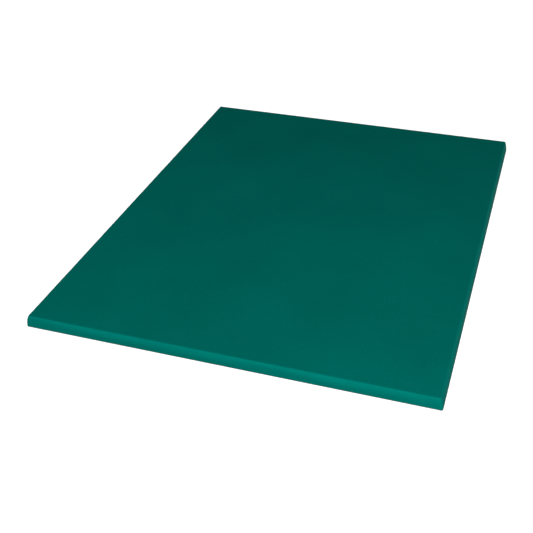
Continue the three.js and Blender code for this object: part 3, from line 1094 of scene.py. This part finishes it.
def arch_line(inset):
    """A line over the slider from foot to foot, that far inside the arch's outer face."""
    middle = (slider_low.x + slider_high.x) / 2
    turn = np.linspace(0, math.pi, 17)
    reach = ARCH_LENGTH / 2 - inset
    across = middle + reach * squared(np.cos(turn), 0.7)
    out = plate_front + (ARCH_RISE - inset) * squared(np.sin(turn), 0.8)
    root = plate_front - ARCH_SINK
    return [(middle + reach, root), *zip(across, out), (middle - reach, root)]


def slider_arch():
    outline = arch_line(0) + arch_line(ARCH_BAND)[::-1]
    low = zip_z - ARCH_WIDTH / 2
    high = zip_z + ARCH_WIDTH / 2
    return plate("slider_arch", [outline], low, high, ARCH_BEVEL, XY)


def slider():
    lips = [slider_lip(slider_low.z), slider_lip(slider_high.z - LIP)]
    piece = united("slider_body", [*slider_plates(), *lips, slider_post(), slider_arch()])
    finish_piece(piece, "zip_metal", "zip_slider", body="zip_slider")


def puller():
    low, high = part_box("zip_puller")
    hinge = high.x - PULLER_BAR
    outline = rounded_outline(low.x, low.z, high.x, high.z, PULLER_CORNER, PULLER_END_CORNER)
    window = rounded_outline(
        hinge - PULLER_WINDOW, zip_z - PULLER_WINDOW_WIDTH / 2,
        hinge - PULLER_BAR, zip_z + PULLER_WINDOW_WIDTH / 2, PULLER_WINDOW_CORNER,
    )
    hole_x = low.x + (high.z - low.z) / 2
    hole = [
        (hole_x + PULLER_HOLE * math.cos(t), zip_z + PULLER_HOLE * math.sin(t))
        for t in np.linspace(0, 2 * math.pi, 32, endpoint=False)
    ]
    piece = plate("puller_tab", [outline, window, hole], low.y, high.y, PULLER_BEVEL, XZ)
    shade(piece, 40)
    finish_piece(piece, "zip_metal", "zip_puller", body="zip_puller")


def zip_parts():
    for half, side in (("upper", 1), ("lower", -1)):
        tape("tape_" + half, "zip_tape_" + half)
        coil("coil_" + half, "zip_coil_" + half, side)
        crimped("top_stop_" + half, "zip_top_stop_" + half)
    crimped("bottom_stop", "zip_bottom_stop", waist=0.94)
    slider()
    puller()


# ---- Floor, light and camera ---------------------------------------------------------

FLOOR_SIZE = 40.0
FLOOR_DROP = 0.2 * MM
AIM = Vector((-0.0149, -0.2609, 0.030))  # the point on the mat that the camera looks at
CAMERA_DISTANCE = 2.1857
CAMERA_AZIMUTH = 18.365
CAMERA_ELEVATION = 32.984
CAMERA_ROLL = -0.55
LENS = 61.93
KEY = (4.2, 18, 35, 1.4, 338.0)  # distance, azimuth, elevation, size, power
LEFT_FILL = (3.6, -85, 26, 1.6, 40.0)
RIGHT_FILL = (3.6, 78, 14, 1.6, 22.0)
BACK_FILL = (3.6, 150, 20, 1.6, 30.0)
FLOOR_GLOW = 0.9
SKY_TOP = 0.04
SKY_FADE = (0.02, 0.2)  # heights of a direction between which the studio's walls darken


def floor():
    mesh = bpy.data.meshes.new("floor")
    half = FLOOR_SIZE / 2
    corners = [(-half, -half), (half, -half), (half, half), (-half, half)]
    mesh.from_pydata([(x, y, -FLOOR_DROP) for x, y in corners], [], [(0, 1, 2, 3)])
    piece = bpy.data.objects.new("floor", mesh)
    bpy.context.scene.collection.objects.link(piece)
    s = Surface("floor_paint", roughness=0.9, specular=0.1)
    s.set("Base Color", s.mix(s.noise(3, 4), (0.19, 0.19, 0.19), (0.21, 0.21, 0.21)))
    s.shader.inputs["Emission Color"].default_value = (1, 1, 1, 1)
    s.shader.inputs["Emission Strength"].default_value = FLOOR_GLOW
    mesh.materials.append(s.material)


def direction(azimuth, elevation):
    """From the mat outwards. Azimuth 0 is in front of it and 90 is to its right."""
    a = math.radians(azimuth)
    e = math.radians(elevation)
    return Vector((math.sin(a) * math.cos(e), -math.cos(a) * math.cos(e), math.sin(e)))


def area_light(name, distance, azimuth, elevation, size, power):
    """A soft light aimed at the mat."""
    light = bpy.data.lights.new(name, "AREA")
    light.shape = "DISK"
    light.size = size
    light.energy = power
    lamp = bpy.data.objects.new(name, light)
    towards = direction(azimuth, elevation)
    lamp.location = distance * towards
    lamp.rotation_mode = "QUATERNION"
    lamp.rotation_quaternion = towards.to_track_quat("Z", "Y")
    bpy.context.scene.collection.objects.link(lamp)


def studio():
    """Walls as bright as the floor at the horizon, and a dark ceiling."""
    world = bpy.data.worlds.new("studio")
    world.use_nodes = True
    tree = world.node_tree
    looking = tree.nodes.new("ShaderNodeTexCoord").outputs["Generated"]
    split = tree.nodes.new("ShaderNodeSeparateXYZ")
    tree.links.new(looking, split.inputs["Vector"])
    fade = tree.nodes.new("ShaderNodeMapRange")
    fade.interpolation_type = "SMOOTHSTEP"
    tree.links.new(split.outputs["Z"], fade.inputs["Value"])
    fade.inputs["From Min"].default_value = SKY_FADE[0]
    fade.inputs["From Max"].default_value = SKY_FADE[1]
    fade.inputs["To Min"].default_value = FLOOR_GLOW
    fade.inputs["To Max"].default_value = SKY_TOP
    background = tree.nodes["Background"]
    background.inputs["Color"].default_value = (1, 1, 1, 1)
    tree.links.new(fade.outputs["Result"], background.inputs["Strength"])
    return world


def lighting():
    area_light("key_light", *KEY)
    area_light("left_fill", *LEFT_FILL)
    area_light("right_fill", *RIGHT_FILL)
    area_light("back_fill", *BACK_FILL)
    bpy.context.scene.world = studio()
    bpy.context.scene.view_settings.view_transform = "Standard"


def camera():
    data = bpy.data.cameras.new("camera")
    data.lens = LENS
    view = bpy.data.objects.new("camera", data)
    back = direction(CAMERA_AZIMUTH, CAMERA_ELEVATION)
    roll = Quaternion((0, 0, 1), math.radians(CAMERA_ROLL))
    view.location = AIM + CAMERA_DISTANCE * back
    view.rotation_mode = "QUATERNION"
    view.rotation_quaternion = back.to_track_quat("Z", "Y") @ roll
    bpy.context.scene.collection.objects.link(view)
    bpy.context.scene.camera = view


camera()
floor()
lighting()
top_panel()
base_panel()
walls()
foams()
threads()
zip_parts()
